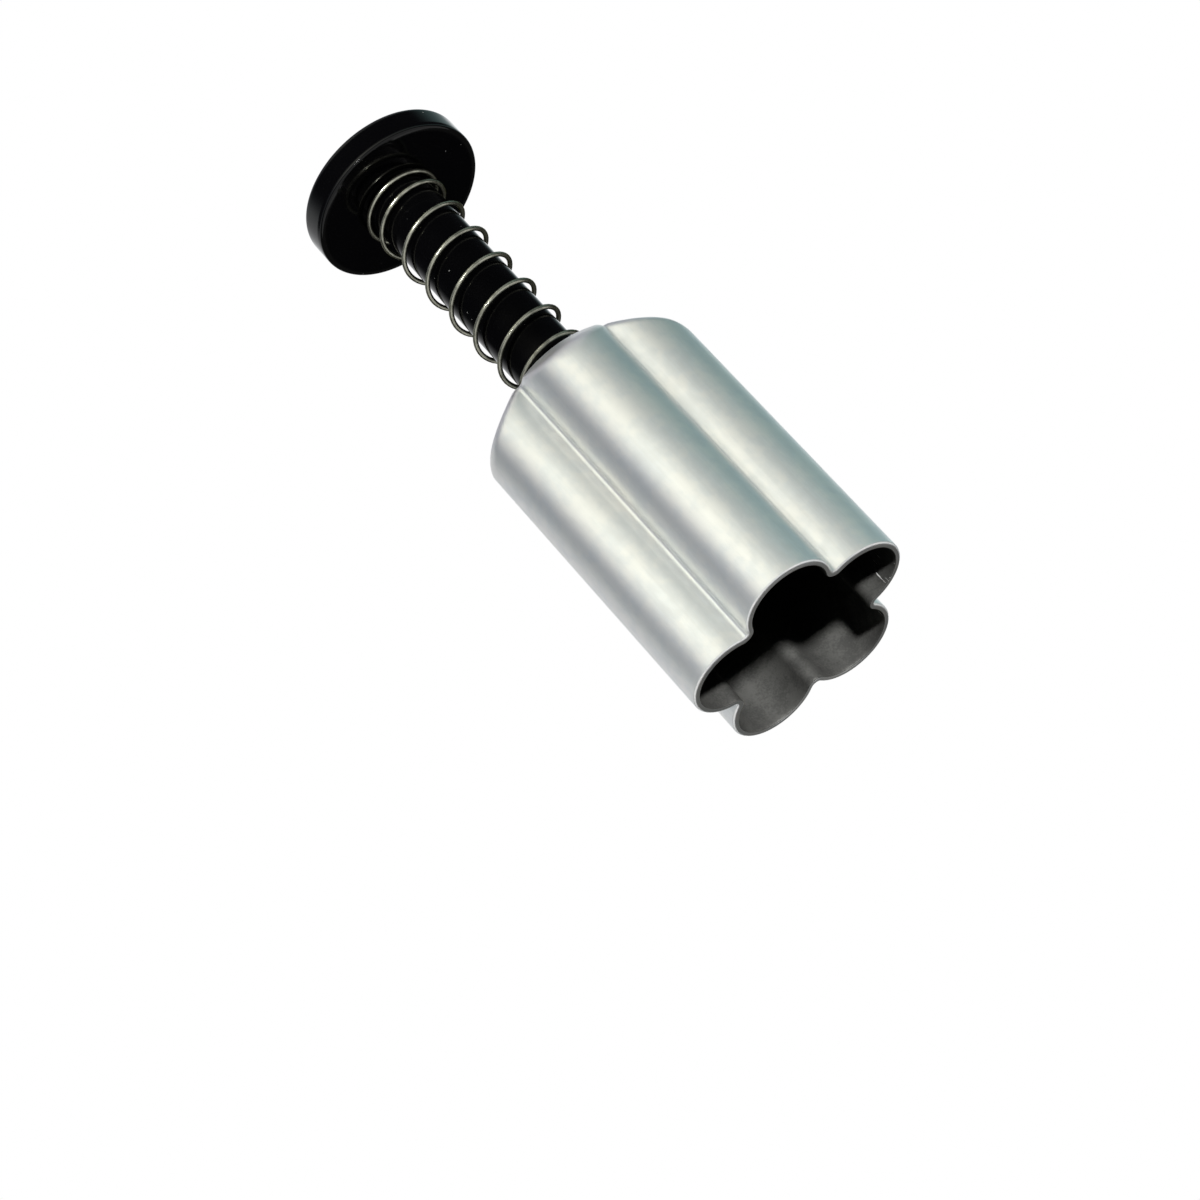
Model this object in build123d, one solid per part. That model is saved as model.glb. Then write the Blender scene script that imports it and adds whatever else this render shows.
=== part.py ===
from build123d import *
from math import atan2, cos, dist, pi, radians, sin, sqrt, tan
import os

# Five-petal plunger cutter: a drawn metal shell, a sprung plunger rod, its thumb knob and its ejector pad.
# Millimetres, +Z up. The tool stands on its cutting edge, the origin is the centre of that edge
# on the tool's axis, and one petal points along -Y.

# Cutter shell
ACROSS_PETALS = 19.0
PETAL_COUNT = 5
FIRST_PETAL_ANGLE = -90
GROOVE_DEPTH = 2.92
GROOVE_RADIUS = 0.37
SHELL_HEIGHT = 28.7
SHELL_WALL = 0.5
SHOULDER_DROP = 2.55
SHOULDER_RUN = 3.0
SHOULDER_ROUND = 1.5
SHOULDER_CLEARANCE = 0.03
TOP_EDGE_ROUND = 0.4
EDGE_BEVEL_HEIGHT = 0.18
EDGE_LAND_SHARE = 0.65

# Ejector pad
PAD_HEIGHT = 8.95
PAD_PLATE = 3.0
PAD_EDGE_ROUND = 0.3
PAD_CLEARANCE = 0.2
PAD_STOP_GAP = 0.05
PAD_WEB = 1.6
BOSS_WALL_SHARE = 0.52
BOSS_FOOT_ROUND = 0.5
PRESSED_FACE_HEIGHT = 0.2

# Plunger rod
ROD_RADIUS = 2.79
ROD_CLEARANCE = 0.06
PRESSED_KNOB_GAP = 5.2
PRESS_CLEARANCE = 0.02
SPIGOT_RADIUS = 1.9
SPIGOT_CHAMFER = 0.25
SPIGOT_END_GAP = 0.1
TENON_RADIUS = 1.5
HEAD_RADIUS = 2.3
HEAD_RIM = 0.25
HEAD_CROWN = 0.35
HEAD_CLEARANCE = 0.3

# Thumb knob
KNOB_RADIUS = 7.28
KNOB_THICKNESS = 2.5
KNOB_EDGE_ROUND = 0.4
KNOB_WEB = 0.9

# Return spring, with its leads and its turns counted from the lower end
WIRE_RADIUS = 0.2
SPRING_CLEARANCE = 0.27
SPRING_SEAT_GAP = 0.05
CLOSING_LEAD = 0.5
END_TURNS = 0.25
LOWER_CLOSING_TURNS = 2.25
OPEN_TURNS = 4.75
UPPER_CLOSING_TURNS = 1.75
FIRST_WIRE_ANGLE = 323
BIARCS_PER_TURN = 4
GAP_POINTS_PER_TURN = 60

# How far every cut runs past the face that it opens
OVERRUN = 1.0

# Heights and radii worked out from the sizes above
petal_reach = ACROSS_PETALS / 2
half_petal_angle = pi / PETAL_COUNT
top_plate_underside = SHELL_HEIGHT - SHELL_WALL
boss_top = top_plate_underside - PAD_STOP_GAP
pad_face = boss_top - PAD_HEIGHT
plate_top = pad_face + PAD_PLATE
plunger_travel = pad_face - PRESSED_FACE_HEIGHT
head_underside = pad_face + HEAD_CLEARANCE
web_underside = head_underside + HEAD_CROWN + HEAD_RIM
rod_shoulder = web_underside + PAD_WEB
knob_gap = plunger_travel + PRESSED_KNOB_GAP
knob_underside = SHELL_HEIGHT + knob_gap
bore_end = knob_underside + KNOB_THICKNESS - KNOB_WEB
spigot_end = bore_end - SPIGOT_END_GAP
coil_radius = ROD_RADIUS + SPRING_CLEARANCE + WIRE_RADIUS
pad_groove_reach = petal_reach - GROOVE_DEPTH - SHELL_WALL - PAD_CLEARANCE
boss_radius = ROD_RADIUS + BOSS_WALL_SHARE * (pad_groove_reach - ROD_RADIUS)


def polar(radius, angle):
    """Return the point at a radius and an angle in radians."""
    return Vector(radius * cos(angle), radius * sin(angle))


def petal_outline(inset, height):
    """Return the five-petal face at a height, its outline moved inwards by an inset.

    Each petal is an arc about its own centre and each groove a small arc between two petals,
    so an inset only changes their radii and a wall between two outlines is even all round.
    """
    groove_centre_radius = petal_reach - GROOVE_DEPTH + GROOVE_RADIUS
    toward = groove_centre_radius * cos(half_petal_angle)
    squares = petal_reach**2 + groove_centre_radius**2 - GROOVE_RADIUS**2
    petal_radius = (squares - 2 * petal_reach * toward) / (2 * (petal_reach - toward + GROOVE_RADIUS))
    petal_centre_radius = petal_reach - petal_radius
    petal = petal_radius - inset
    groove = GROOVE_RADIUS + inset
    edges = []
    for number in range(PETAL_COUNT):
        middle = radians(FIRST_PETAL_ANGLE) + 2 * half_petal_angle * number
        centre = polar(petal_centre_radius, middle)
        next_centre = polar(petal_centre_radius, middle + 2 * half_petal_angle)
        groove_before = polar(groove_centre_radius, middle - half_petal_angle)
        groove_after = polar(groove_centre_radius, middle + half_petal_angle)
        start = centre + (groove_before - centre).normalized() * petal
        end = centre + (groove_after - centre).normalized() * petal
        next_start = next_centre + (groove_after - next_centre).normalized() * petal
        tip = polar(petal_centre_radius + petal, middle)
        root = polar(groove_centre_radius - groove, middle + half_petal_angle)
        edges.append(ThreePointArc(start, tip, end))
        edges.append(ThreePointArc(end, root, next_start))
    return Pos(0, 0, height) * make_face(edges)


def shoulder_body(inset):
    """Return the round body that trims the petals to the conical shoulder, moved inwards by an inset.

    Its side stands a little outside the petals' tips, so the two walls never touch along a line.
    """
    slope = atan2(SHOULDER_RUN, SHOULDER_DROP)
    side_radius = petal_reach + SHOULDER_CLEARANCE - inset
    corner_height = SHELL_HEIGHT - SHOULDER_DROP - inset * tan(slope / 2)
    top_radius = petal_reach + SHOULDER_CLEARANCE - SHOULDER_RUN - inset * tan((pi / 2 - slope) / 2)
    top_height = SHELL_HEIGHT - inset
    corner = (side_radius, corner_height)
    edge = (top_radius, top_height)
    side = Polyline((0, top_height), (0, -2 * OVERRUN), (side_radius, -2 * OVERRUN), corner, edge, close=True)
    profile = make_face(side)
    profile = fillet(profile.vertices().sort_by_distance(corner)[0], SHOULDER_ROUND - inset)
    if TOP_EDGE_ROUND > inset:
        profile = fillet(profile.vertices().sort_by_distance(edge)[0], TOP_EDGE_ROUND - inset)
    return revolve(Plane.XZ * profile, Axis.Z)


def round_cut(radius, low, high):
    """Return a cylinder on the axis between two heights."""
    return Pos(0, 0, low) * Cylinder(radius, high - low, align=(Align.CENTER, Align.CENTER, Align.MIN))


def make_cutter_shell():
    """Return the petal tube with its bevelled cutting edge, conical shoulder and holed top plate."""
    rim = petal_outline(SHELL_WALL * (1 - EDGE_LAND_SHARE), 0)
    bevel_end = petal_outline(0, EDGE_BEVEL_HEIGHT)
    outside = loft([rim, bevel_end], ruled=True) + extrude(bevel_end, SHELL_HEIGHT)
    bore = extrude(petal_outline(SHELL_WALL, -OVERRUN), SHELL_HEIGHT + OVERRUN)
    shell = (outside & shoulder_body(0)) - (bore & shoulder_body(SHELL_WALL))
    rod_hole = round_cut(ROD_RADIUS + ROD_CLEARANCE, top_plate_underside - OVERRUN, SHELL_HEIGHT + OVERRUN)
    return shell - rod_hole


def make_thumb_knob():
    """Return the disc with rounded edges and the blind bore for the rod's spigot in its underside."""
    disc = Pos(0, 0, knob_underside) * Cylinder(
        KNOB_RADIUS, KNOB_THICKNESS, align=(Align.CENTER, Align.CENTER, Align.MIN)
    )
    disc = fillet(disc.edges().filter_by(GeomType.CIRCLE), KNOB_EDGE_ROUND)
    bore = round_cut(SPIGOT_RADIUS + PRESS_CLEARANCE, knob_underside - OVERRUN, bore_end)
    return disc - bore


def make_plunger_rod():
    """Return the rod with the spigot that the knob is pressed on and the tenon headed over in the pad."""
    rim_height = web_underside - HEAD_RIM
    crown = TangentArc((0, head_underside), (HEAD_RADIUS, rim_height), tangent=(1, 0))
    side = Polyline(
        (HEAD_RADIUS, rim_height),
        (HEAD_RADIUS, web_underside),
        (TENON_RADIUS, web_underside),
        (TENON_RADIUS, rod_shoulder),
        (ROD_RADIUS, rod_shoulder),
        (ROD_RADIUS, knob_underside),
        (SPIGOT_RADIUS, knob_underside),
        (SPIGOT_RADIUS, spigot_end - SPIGOT_CHAMFER),
        (SPIGOT_RADIUS - SPIGOT_CHAMFER, spigot_end),
        (0, spigot_end),
        (0, head_underside),
    )
    profile = make_face([crown, *side.edges()])
    return revolve(Plane.XZ * profile, Axis.Z)


def make_ejector_pad():
    """Return the petal plate with the boss that takes the rod and stops under the shell's top plate.

    The boss takes its share of the room between the rod and the roots of the plate's grooves.
    """
    plate = extrude(petal_outline(SHELL_WALL + PAD_CLEARANCE, pad_face), PAD_PLATE)
    plate = fillet(plate.faces().sort_by(Axis.Z)[0].edges(), PAD_EDGE_ROUND)
    pad = plate + round_cut(boss_radius, plate_top, boss_top)
    on_plate = pad.edges().filter_by_position(Axis.Z, plate_top, plate_top)
    pad = fillet(on_plate.sort_by_distance((0, 0, plate_top))[0], BOSS_FOOT_ROUND)
    pad -= round_cut(ROD_RADIUS + PRESS_CLEARANCE, rod_shoulder, boss_top + OVERRUN)
    pad -= round_cut(TENON_RADIUS + PRESS_CLEARANCE, pad_face - OVERRUN, boss_top)
    return pad - round_cut(HEAD_RADIUS + HEAD_CLEARANCE, pad_face - OVERRUN, web_underside)


def spring_stretches():
    """Return the stretches of the wire as turns, lead at their lower end and lead at their upper end.

    The open turns' lead is what fills the space between the top plate and the knob.
    """
    closing_turns = (LOWER_CLOSING_TURNS + UPPER_CLOSING_TURNS) / 2
    space = knob_gap - 2 * (SPRING_SEAT_GAP + WIRE_RADIUS)
    closed_climb = CLOSING_LEAD * (closing_turns + 2 * END_TURNS)
    open_lead = (space - closed_climb) / (OPEN_TURNS + closing_turns)
    return [
        (END_TURNS, CLOSING_LEAD, CLOSING_LEAD),
        (LOWER_CLOSING_TURNS, CLOSING_LEAD, open_lead),
        (OPEN_TURNS, open_lead, open_lead),
        (UPPER_CLOSING_TURNS, open_lead, CLOSING_LEAD),
        (END_TURNS, CLOSING_LEAD, CLOSING_LEAD),
    ]


def wire_at(turn):
    """Return the point of the wire's centre line after a number of turns, and its direction there."""
    height = SHELL_HEIGHT + SPRING_SEAT_GAP + WIRE_RADIUS
    lead = CLOSING_LEAD
    left = turn
    for turns, low_lead, high_lead in spring_stretches():
        here = min(left, turns)
        height += low_lead * here + (high_lead - low_lead) * here**2 / (2 * turns)
        if here > 0:
            lead = low_lead + (high_lead - low_lead) * here / turns
        left -= here
    angle = radians(FIRST_WIRE_ANGLE) + 2 * pi * turn
    point = polar(coil_radius, angle) + Vector(0, 0, height)
    around = 2 * pi * coil_radius
    direction = Vector(-around * sin(angle), around * cos(angle), lead).normalized()
    return point, direction


def biarc(start, start_direction, end, end_direction):
    """Return two arcs, tangent where they meet, from one point and direction to another."""
    span = end - start
    both = start_direction + end_direction
    bend = 2 * (1 - start_direction.dot(end_direction))
    reach = (sqrt(span.dot(both) ** 2 + bend * span.dot(span)) - span.dot(both)) / bend
    first_corner = start + start_direction * reach
    second_corner = end - end_direction * reach
    joint = (first_corner + second_corner) * 0.5
    joint_direction = (second_corner - first_corner).normalized()
    return [
        Edge.make_tangent_arc(start, start_direction, joint),
        Edge.make_tangent_arc(joint, joint_direction, end),
    ]


def make_return_spring():
    """Return the spring: one round wire swept along quarter-turn biarcs, straight at both ends."""
    total_turns = sum(turns for turns, _, _ in spring_stretches())
    steps = round(total_turns * BIARCS_PER_TURN)
    states = [wire_at(total_turns * step / steps) for step in range(steps + 1)]
    straight = 2 * WIRE_RADIUS
    first, first_direction = states[0]
    last, last_direction = states[-1]
    edges = [Edge.make_line(first - first_direction * straight, first)]
    for (start, start_direction), (end, end_direction) in zip(states, states[1:]):
        edges += biarc(start, start_direction, end, end_direction)
    edges.append(Edge.make_line(last, last + last_direction * straight))
    path = Wire(edges)
    section = Plane(origin=path @ 0, z_dir=path % 0) * Circle(WIRE_RADIUS)
    spring = sweep(section, path=path)
    print("spring wire length", round(path.length, 2), "mm over", total_turns, "turns")
    print("spring volume over section times length", round(spring.volume / (section.area * path.length), 4))
    return spring


def print_spring_gap():
    """Print the least gap between one turn of the spring's wire and the next, measured on points."""
    total_turns = sum(turns for turns, _, _ in spring_stretches())
    count = round(total_turns * GAP_POINTS_PER_TURN)
    points = [tuple(wire_at(total_turns * number / count)[0]) for number in range(count + 1)]
    apart = GAP_POINTS_PER_TURN // 2
    nearest = min(dist(a, b) for i, a in enumerate(points) for b in points[i + apart :])
    print("spring least gap to itself", round(nearest - 2 * WIRE_RADIUS, 3), "mm")


os.makedirs("parts", exist_ok=True)
PIECES = {
    "cutter_shell": make_cutter_shell,
    "return_spring": make_return_spring,
    "plunger_rod": make_plunger_rod,
    "thumb_knob": make_thumb_knob,
    "ejector_pad": make_ejector_pad,
}
for name, make_piece in PIECES.items():
    export_step(make_piece(), f"parts/{name}.step")
print_spring_gap()
print("plunger travel", round(plunger_travel, 3), "mm")
print("tool length", round(knob_underside + KNOB_THICKNESS, 3), "mm")
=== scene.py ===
"""Dressed model of a five-petal plunger cutter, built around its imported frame.

The tool is two sub-assemblies: the cutter body, which is the petal shell with its return
spring, and the plunger, which is the rod with its thumb knob and its ejector pad. Lengths
are metres in the frame's own axes, and +Z runs from the cutting edge to the knob.
"""

import logging
import math
from dataclasses import dataclass
from enum import Enum
from functools import cache, partial
from typing import Callable, Iterable, Sequence

import bmesh
import bpy
from bmesh.types import BMEdge, BMesh, BMFace, BMVert
from bpy.types import Material, NodeSocket, Object, World
from mathutils import Euler, Matrix, Vector


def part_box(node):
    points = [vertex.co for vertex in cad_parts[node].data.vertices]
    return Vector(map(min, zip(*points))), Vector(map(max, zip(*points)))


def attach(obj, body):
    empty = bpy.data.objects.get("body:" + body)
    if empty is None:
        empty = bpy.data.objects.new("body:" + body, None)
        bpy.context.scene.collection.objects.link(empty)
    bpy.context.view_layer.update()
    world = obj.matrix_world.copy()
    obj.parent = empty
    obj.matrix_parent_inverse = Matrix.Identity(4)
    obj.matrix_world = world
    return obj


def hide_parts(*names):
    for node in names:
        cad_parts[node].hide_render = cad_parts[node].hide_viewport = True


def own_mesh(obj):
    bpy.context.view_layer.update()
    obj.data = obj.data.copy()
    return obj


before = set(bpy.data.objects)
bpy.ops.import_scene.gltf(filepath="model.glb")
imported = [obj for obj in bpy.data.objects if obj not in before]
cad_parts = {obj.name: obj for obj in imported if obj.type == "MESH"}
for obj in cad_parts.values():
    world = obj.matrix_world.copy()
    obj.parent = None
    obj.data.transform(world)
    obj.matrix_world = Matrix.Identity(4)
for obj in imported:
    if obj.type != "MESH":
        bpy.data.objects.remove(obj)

log = logging.getLogger("plunger_cutter")

MM = 0.001
UP = Vector((0, 0, 1))
WHITE = (1, 1, 1, 1)
NOISE_MIDDLE = 0.5
WELD_DISTANCE = 1e-7
NEAR = 1e-6
CREASE_ANGLE = math.radians(40)
Colour = tuple[float, float, float]
Span = tuple[float, float]
Numbers = Sequence[float]
Inputs = dict[int | str, object]
Height = float | Callable[[float], float]
Place = Callable[[int], Vector]


class Body(Enum):
    """The two moving bodies of the tool."""

    CUTTER = "cutter"
    PLUNGER = "plunger"


class Slot(Enum):
    """The material slots that the record names."""

    SATIN_METAL = "satin_metal"
    SPRING_WIRE = "spring_wire"
    BLACK_PLASTIC = "black_plastic"


@dataclass(frozen=True)
class Grain:
    """A noise: its spots' size in metres, its finer layers, and its stretch along each axis."""

    size: float
    detail: float = 3
    stretch: Numbers = (1, 1, 1)


def math_operator(operation: str, reflected: bool = False) -> Callable[..., "Socket"]:
    """Make one of Python's operators add a Math node.

    Args:
        operation: the Math node's operation.
        reflected: whether the socket is its second value.

    Returns:
        The operator's method.
    """

    def method(self: "Socket", other: "Socket | float") -> "Socket":
        """Return the node's value."""
        values = (other, self) if reflected else (self, other)
        return self.bench.math(operation, *values)

    return method


class Socket:
    """A node's output that Python's operators can work with."""

    def __init__(self, bench: "Bench", output: NodeSocket | None) -> None:
        """Keep the output and the bench that its node stands on."""
        self.bench = bench
        self.output = output

    __add__ = math_operator("ADD")
    __radd__ = math_operator("ADD", reflected=True)
    __sub__ = math_operator("SUBTRACT")
    __rsub__ = math_operator("SUBTRACT", reflected=True)
    __mul__ = math_operator("MULTIPLY")
    __rmul__ = math_operator("MULTIPLY", reflected=True)
    __truediv__ = math_operator("DIVIDE")
    __rtruediv__ = math_operator("DIVIDE", reflected=True)
    __gt__ = math_operator("GREATER_THAN")
    __lt__ = math_operator("LESS_THAN")


class Bench:
    """Builds one node tree, for a finish or for the studio's world."""

    def __init__(self, holder: Material | World) -> None:
        """Start with an empty tree.

        Args:
            holder: the material or the world that it belongs to.
        """
        holder.use_nodes = True
        self.holder = holder
        self.tree = holder.node_tree
        self.tree.nodes.clear()

    def node(
        self,
        kind: str,
        settings: dict[str, object] | None = None,
        inputs: Inputs | None = None,
        output: str | None = None,
    ) -> Socket:
        """Add a node of any type.

        Args:
            kind: the node's type.
            settings: its own settings.
            inputs: the values or links of its sockets, by name or number.
            output: the name of the output to return, or None for the first.

        Returns:
            The wanted output.
        """
        made = self.tree.nodes.new(kind)
        for name, value in (settings or {}).items():
            setattr(made, name, value)
        for name, value in (inputs or {}).items():
            socket = made.inputs[name] if isinstance(name, int) else self._find(made.inputs, name)
            if isinstance(value, Socket):
                self.tree.links.new(value.output, socket)
            else:
                socket.default_value = value
        return Socket(self, self._find(made.outputs, output))

    @staticmethod
    def _find(sockets: Iterable[NodeSocket], name: str | None) -> NodeSocket | None:
        """Return the first socket in use with a name, or the first of all."""
        return next((s for s in sockets if s.enabled and name in (None, s.name)), None)

    def math(self, operation: str, first: Socket | float, second: Socket | float = 0) -> Socket:
        """Return the value of a Math node of two values, or of one."""
        return self.node("ShaderNodeMath", {"operation": operation}, {0: first, 1: second})

    def part(self, vector: Socket, axis: str) -> Socket:
        """Return a vector's part along an axis."""
        return self.node("ShaderNodeSeparateXYZ", inputs={0: vector}, output=axis)

    def coordinates(self, stretch: Numbers = (1, 1, 1)) -> Socket:
        """Return the piece's Object coordinates, each multiplied by a stretch."""
        here = self.node("ShaderNodeTexCoord", output="Object")
        return self.node("ShaderNodeMapping", inputs={"Vector": here, "Scale": stretch})

    def noise(self, grain: Grain) -> Socket:
        """Add a noise.

        Args:
            grain: its grain.

        Returns:
            Its value, from about 0 to 1.
        """
        here = self.coordinates(grain.stretch)
        inputs = {"Vector": here, "Scale": 1 / grain.size, "Detail": grain.detail}
        return self.node("ShaderNodeTexNoise", inputs=inputs, output="Fac")

    def ramped(self, value: Socket, span: Span) -> Socket:
        """Return 0 where a value is under a span and 1 where it is over it, and smooth between."""
        inputs = {"Value": value, "From Min": span[0], "From Max": span[1]}
        return self.node("ShaderNodeMapRange", {"interpolation_type": "SMOOTHSTEP"}, inputs)

    def blended(self, share: Socket, first: Colour | Socket, second: Colour | Socket) -> Socket:
        """Return a colour that goes from the first to the second with a share."""
        inputs = {"Factor": share, "A": self._paint(first), "B": self._paint(second)}
        return self.node("ShaderNodeMix", {"data_type": "RGBA"}, inputs, "Result")

    @staticmethod
    def _paint(colour: Colour | Socket) -> object:
        """Return a colour in the form that a socket takes."""
        return colour if isinstance(colour, Socket) else (*colour, 1)

    def mixed(self, share: Socket, first: Socket, second: Socket) -> Socket:
        """Return a shader that goes from the first to the second with a share."""
        return self.node("ShaderNodeMixShader", inputs={0: share, 1: first, 2: second})

    def bump(self, height: Socket, depth: float) -> Socket:
        """Return the normal that a height from 0 to 1 gives at a depth in metres."""
        return self.node("ShaderNodeBump", inputs={"Height": height, "Distance": depth})

    def background_rays(self) -> Socket:
        """Tell apart the rays that meet the background.

        Returns:
            1 for those that show it, and 0 for those that only carry its light.
        """
        kinds = ("Is Camera Ray", "Is Glossy Ray", "Is Transmission Ray")
        camera, glossy, through = (self.node("ShaderNodeLightPath", output=kind) for kind in kinds)
        return self.math("MAXIMUM", camera, glossy) + through

    def close(self, shader: Socket, kind: str = "ShaderNodeOutputMaterial") -> None:
        """Link a shader to the tree's output node."""
        self.node(kind, inputs={"Surface": shader})


def weighted(values: Iterable[Socket], weights: Numbers, base: float = 0) -> Socket:
    """Return a base plus values that are each multiplied by a weight."""
    return sum((value * weight for value, weight in zip(values, weights)), base)


def grey(level: float) -> Colour:
    """Return a grey."""
    return (level, level, level)


@dataclass(frozen=True)
class Finish:
    """A finish that one Principled shader gives."""

    name: str

    @cache
    def material(self) -> Material:
        """Make the finish's material, once.

        Returns:
            The material.
        """
        bench = Bench(bpy.data.materials.new(self.name))
        bench.close(bench.node("ShaderNodeBsdfPrincipled", inputs=self.inputs(bench)))
        return bench.holder

    def inputs(self, bench: Bench) -> Inputs:
        """Return what the shader's sockets are given, which each finish says for itself."""
        raise NotImplementedError


@dataclass(frozen=True)
class SatinMetal(Finish):
    """Satin sheet metal, mottled by handling, with faint lines from its drawing."""

    name: str = "satin_metal"
    colour: Colour = (0.85, 0.85, 0.835)
    cool_colour: Colour = (0.805, 0.83, 0.845)
    cool_weights: Numbers = (0.6, 0.4)
    cool_span: Span = (0.42, 0.6)
    worn_colour: Colour = (0.765, 0.77, 0.755)
    worn_weights: Numbers = (0.3, 0.45, 0.25)
    worn_span: Span = (0.42, 0.62)
    worn_share: float = 0.5
    roughness: float = 0.4
    roughness_sway: float = 0.1
    long_blur: float = 0.4
    long_blur_turn: float = 0.25
    grain: Grain = Grain(0.14 * MM)
    grain_depth: float = 0.005 * MM
    mottle: Grain = Grain(0.7 * MM, stretch=(1, 1, 0.7))
    mottle_depth: float = 0.008 * MM
    sway: Grain = Grain(2.0 * MM, 1, (1, 1, 0.6))
    sway_depth: float = 0.018 * MM
    lines: Grain = Grain(0.16 * MM, stretch=(1, 1, 0.012))
    patches: Grain = Grain(3.5 * MM)

    def inputs(self, bench: Bench) -> Inputs:
        """Build the grain, the mottle, the drawing lines and the worn patches.

        Args:
            bench: the bench of its material.

        Returns:
            The shader's inputs.
        """
        grain, mottle, sway = map(bench.noise, (self.grain, self.mottle, self.sway))
        lines, patches = map(bench.noise, (self.lines, self.patches))
        worn = bench.ramped(weighted((patches, mottle, lines), self.worn_weights), self.worn_span)
        cool = bench.ramped(weighted((patches, mottle), self.cool_weights), self.cool_span)
        tint = bench.blended(cool, self.colour, self.cool_colour)
        height = grain * self.grain_depth + mottle * self.mottle_depth + sway * self.sway_depth
        sways = ((noise - NOISE_MIDDLE) * self.roughness_sway for noise in (mottle, lines))
        return {
            "Base Color": bench.blended(worn * self.worn_share, tint, self.worn_colour),
            "Metallic": 1.0,
            "Roughness": sum(sways, self.roughness),
            "Anisotropic": self.long_blur,
            "Anisotropic Rotation": self.long_blur_turn,
            "Normal": bench.bump(height / MM, MM),
        }


@dataclass(frozen=True)
class ShadedBoreMetal(Finish):
    """The inner wall, painted dark as shade in the deep bore, with a few bright scratches along the
    tool beside the mouth.
    """

    name: str = "satin_metal_bore_painted_shade"
    # Painted shade: both colours are far darker than the outer metal so that the deep bore reads as
    # shadow.
    colour: Colour = (0.115, 0.115, 0.108)
    worn_colour: Colour = (0.075, 0.075, 0.071)
    worn_weights: Numbers = (0.6, 0.4)
    worn_span: Span = (0.38, 0.62)
    film: float = 0.5
    gloss_level: float = 0.2
    roughness: float = 0.58
    roughness_sway: float = 0.1
    grain: Grain = Grain(0.15 * MM)
    grain_depth: float = 0.008 * MM
    patches: Grain = Grain(1.6 * MM)
    scratch_colour: Colour = (0.85, 0.85, 0.83)
    scratches: Grain = Grain(0.16 * MM, 1, (1, 1, 0.07))
    scratch_span: Span = (0.68, 0.7)
    scratched_from: float = 6.6 * MM
    scratched_to: float = 2.4 * MM

    def inputs(self, bench: Bench) -> Inputs:
        """Build the grain, the worn patches and the scratches.

        Args:
            bench: the bench of its material.

        Returns:
            The shader's inputs.
        """
        grain, patches = map(bench.noise, (self.grain, self.patches))
        worn = bench.ramped(weighted((patches, grain), self.worn_weights), self.worn_span)
        # The wall's colour is painted shade, varied in random patches.
        wall = bench.blended(worn, self.colour, self.worn_colour)
        here = bench.coordinates()
        beside = bench.part(here, "X") > self.scratched_from
        beside = beside * (bench.part(here, "Z") < self.scratched_to)
        scratches = bench.ramped(bench.noise(self.scratches), self.scratch_span) * beside
        return {
            "Base Color": bench.blended(scratches, wall, self.scratch_colour),
            "Metallic": 1.0 - self.film,
            "Specular IOR Level": self.gloss_level,
            "Roughness": self.roughness + (patches - NOISE_MIDDLE) * self.roughness_sway,
            "Normal": bench.bump(grain, self.grain_depth),
        }


@dataclass(frozen=True)
class SpringSteel(Finish):
    """Round drawn wire, with duller patches, fine lines from the die and painted shade along its
    outline.
    """

    name: str = "spring_wire"
    colour: Colour = (0.35, 0.35, 0.29)
    dull_colour: Colour = (0.2, 0.2, 0.165)
    dull_span: Span = (0.4, 0.65)
    # Painted shade: a near-black reflection tint at grazing angles darkens the wire's outline.
    painted_edge_shade: Colour = (0.1, 0.1, 0.08)
    roughness: float = 0.25
    roughness_sway: float = 0.12
    patches: Grain = Grain(0.9 * MM)
    lines: Grain = Grain(0.05 * MM, 2, (0.4, 0.4, 1))
    line_depth: float = 0.0008 * MM

    def inputs(self, bench: Bench) -> Inputs:
        """Build the dull patches, the die lines and the painted shade at the wire's edges.

        Args:
            bench: the bench of its material.

        Returns:
            The shader's inputs.
        """
        patches = bench.noise(self.patches)
        dull = bench.ramped(patches, self.dull_span)
        return {
            "Base Color": bench.blended(dull, self.colour, self.dull_colour),
            "Metallic": 1.0,
            "Roughness": self.roughness + (patches - NOISE_MIDDLE) * self.roughness_sway,
            "Specular Tint": (*self.painted_edge_shade, 1),
            "Normal": bench.bump(bench.noise(self.lines), self.line_depth),
        }


@dataclass(frozen=True)
class GlossPlastic(Finish):
    """Polished black plastic with handling marks, hair scratches and specks of dust."""

    colour: Colour = (0.0008, 0.0008, 0.001)
    roughness: float = 0.06
    roughness_weights: Numbers = (0.05, 0.3, 0.4)
    gloss_level: float = 0.2
    smears: Grain = Grain(2.5 * MM)
    scratches: Grain = Grain(0.11 * MM, 2, (1, 1, 0.06))
    scratch_span: Span = (0.73, 0.79)
    scratch_share: float = 0.2
    speck_spacing: float = 0.75 * MM
    speck_span: Span = (0.055, 0.088)
    speck_colour: Colour = (0.22, 0.22, 0.21)
    dust: Grain = Grain(2.25 * MM, 1)
    dust_cut: float = 0.62
    ripple: Grain = Grain(3.0 * MM, 1)
    ripple_depth: float = 0.006 * MM

    def inputs(self, bench: Bench) -> Inputs:
        """Build the smears, the scratches, the dust and the moulded ripple.

        Args:
            bench: the bench of its material.

        Returns:
            The shader's inputs.
        """
        smears = bench.noise(self.smears)
        scratches = bench.ramped(bench.noise(self.scratches), self.scratch_span)
        cells = {"Vector": bench.coordinates(), "Scale": 1 / self.speck_spacing}
        nearest = bench.node("ShaderNodeTexVoronoi", inputs=cells, output="Distance")
        dusty = bench.noise(self.dust) > self.dust_cut
        specks = (1 - bench.ramped(nearest, self.speck_span)) * dusty
        marks = (smears, scratches, specks)
        height = bench.noise(self.ripple) - scratches * self.scratch_share
        return {
            "Base Color": bench.blended(specks, self.colour, self.speck_colour),
            "Roughness": weighted(marks, self.roughness_weights, self.roughness),
            "Specular IOR Level": self.gloss_level,
            "Normal": bench.bump(height, self.ripple_depth),
        }


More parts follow.
